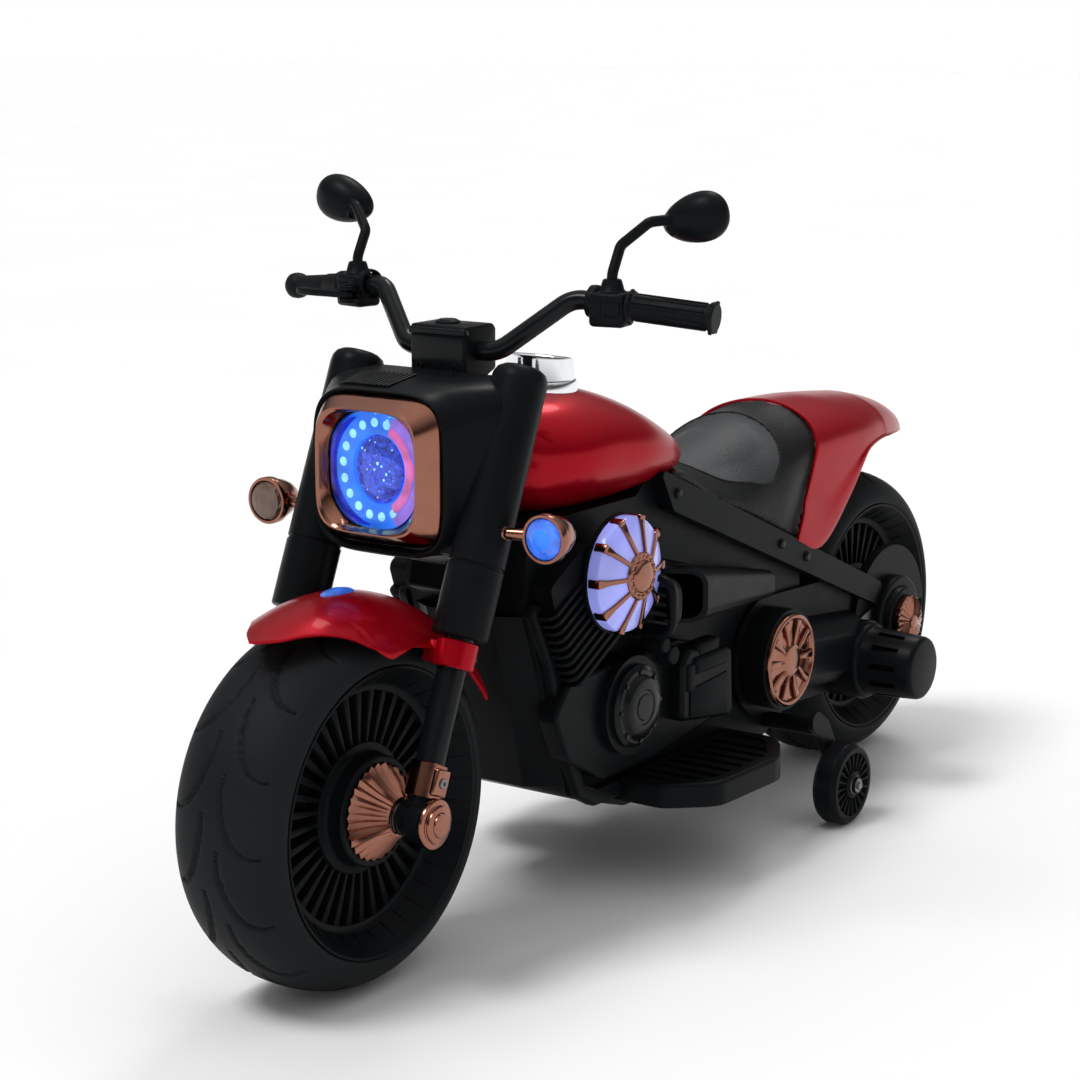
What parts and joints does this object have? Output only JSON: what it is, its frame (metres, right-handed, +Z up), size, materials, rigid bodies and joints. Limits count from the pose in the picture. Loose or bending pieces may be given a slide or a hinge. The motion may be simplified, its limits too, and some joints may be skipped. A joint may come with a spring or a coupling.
{
  "type": "kids electric motorbike",
  "caption": "Battery ride-on motorbike for children, cruiser shape, with raked fork, round hooded headlight, teardrop tank, finned engine look, footboards and stabiliser wheels.",
  "frame": {"origin": "on the floor under the middle of the bike's bounding box", "axes": "+X forward, +Y to the rider's left, +Z up"},
  "size_m": [1.122, 0.4409, 0.6279],
  "materials": {
    "candy_red": "gloss",
    "satin_black": "satin",
    "rose_copper": "plated",
    "bright_chrome": "polished",
    "engine_grey": "satin",
    "frame_steel": "zinc",
    "black_steel": "gloss",
    "seat_cover": "grained",
    "tyre_plastic": "matt",
    "grip_rubber": "matt",
    "reflector": "metallised",
    "lit_ring": "lit",
    "lit_panel": "lit",
    "clear_lens": "clear",
    "blue_lens": "clear",
    "mirror_glass": "mirror",
    "button_red": "gloss"
  },
  "bodies": {
    "chassis": {"left_body_shell": "satin_black", "right_body_shell": "satin_black", "front_shroud": "satin_black", "head_tube": "frame_steel", "fuel_tank": "candy_red", "tank_cap": "bright_chrome", "seat_pad": "seat_cover", "rear_fender": "candy_red", "engine_blocks": "engine_grey", "crankcases": "satin_black", "crankcase_covers": "engine_grey", "air_filter_lenses": "lit_panel", "air_filter_grilles": "rose_copper", "intake_scoops": "satin_black", "drive_covers": "satin_black", "drive_discs": "rose_copper", "motor_pods": "satin_black", "drive_motors": "frame_steel", "rear_axle": "frame_steel", "rear_axle_caps": "rose_copper", "footboards": "satin_black", "training_brackets": "satin_black", "battery": "satin_black", "control_box": "satin_black", "body_screws": "bright_chrome"},
    "steering": {"steering_stem": "frame_steel", "upper_yoke": "satin_black", "fork_upper_tubes": "satin_black", "fork_lower_tubes": "satin_black", "fork_clamps": "rose_copper", "front_axle": "frame_steel", "headlight_housing": "satin_black", "headlight_bezel": "rose_copper", "headlight_reflector": "reflector", "headlight_ring": "lit_ring", "headlight_lens": "clear_lens", "handlebar": "black_steel", "bar_cover": "satin_black", "switch_boxes": "satin_black", "left_grip": "grip_rubber", "signal_bodies": "rose_copper", "signal_lenses": "blue_lens", "front_fender": "candy_red", "fender_lamp": "rose_copper"},
    "front_wheel": {"front_tyre": "tyre_plastic", "front_rim": "satin_black", "front_hub_cones": "rose_copper"},
    "rear_wheel": {"rear_tyre": "tyre_plastic", "rear_rim": "satin_black"},
    "left_training_wheel": {"left_training_wheel": "satin_black"},
    "right_training_wheel": {"right_training_wheel": "satin_black"},
    "throttle_grip": {"throttle_grip": "grip_rubber"},
    "brake_lever": {"brake_lever": "satin_black"},
    "left_mirror": {"left_mirror": "satin_black", "left_mirror_glass": "mirror_glass"},
    "right_mirror": {"right_mirror": "satin_black", "right_mirror_glass": "mirror_glass"},
    "power_button": {"power_button": "button_red"},
    "direction_switch": {"direction_switch": "satin_black"},
    "horn_button": {"horn_button": "button_red"}
  },
  "joints": [
    {"name": "steering_turn", "type": "hinge", "parent": "chassis", "child": "steering", "pos_m": [0.3034, 0, 0.3216], "axis": [-0.3907, 0, 0.9205], "range_deg": [-30, 30]},
    {"name": "front_wheel_spin", "type": "hinge", "parent": "steering", "child": "front_wheel", "pos_m": [0.411, 0, 0.15], "axis": [0, 1, 0], "continuous": true},
    {"name": "rear_wheel_spin", "type": "hinge", "parent": "chassis", "child": "rear_wheel", "pos_m": [-0.411, 0, 0.15], "axis": [0, 1, 0], "continuous": true},
    {"name": "left_training_spin", "type": "hinge", "parent": "chassis", "child": "left_training_wheel", "pos_m": [-0.186, 0.1405, 0.04], "axis": [0, 1, 0], "continuous": true},
    {"name": "right_training_spin", "type": "hinge", "parent": "chassis", "child": "right_training_wheel", "pos_m": [-0.186, -0.1405, 0.04], "axis": [0, 1, 0], "continuous": true},
    {"name": "throttle_twist", "type": "hinge", "parent": "steering", "child": "throttle_grip", "pos_m": [0.20604, -0.15088, 0.53747], "axis": [-0.1812, -0.98, -0.0824], "range_deg": [0, 35], "stiffness_Nm_per_rad": 0.1},
    {"name": "brake_lever_pull", "type": "hinge", "parent": "steering", "child": "brake_lever", "pos_m": [0.23174, -0.12489, 0.53315], "axis": [0, 0, -1], "range_deg": [0, 8], "stiffness_Nm_per_rad": 0.5},
    {"name": "left_mirror_swivel", "type": "hinge", "parent": "steering", "child": "left_mirror", "pos_m": [0.20974, 0.13089, 0.54915], "axis": [0, 0, 1], "range_deg": [-25, 25]},
    {"name": "right_mirror_swivel", "type": "hinge", "parent": "steering", "child": "right_mirror", "pos_m": [0.20974, -0.13089, 0.54915], "axis": [0, 0, 1], "range_deg": [-25, 25]},
    {"name": "power_button_press", "type": "slide", "parent": "steering", "child": "power_button", "axis": [1, 0, 0], "range_m": [0, 0.002], "stiffness_N_per_m": 400},
    {"name": "direction_switch_rock", "type": "hinge", "parent": "steering", "child": "direction_switch", "pos_m": [0.228, 0.011, 0.507], "axis": [0, 1, 0], "range_deg": [-8, 8]},
    {"name": "horn_button_press", "type": "slide", "parent": "steering", "child": "horn_button", "axis": [1, 0, 0], "range_m": [0, 0.002], "stiffness_N_per_m": 400}
  ]
}
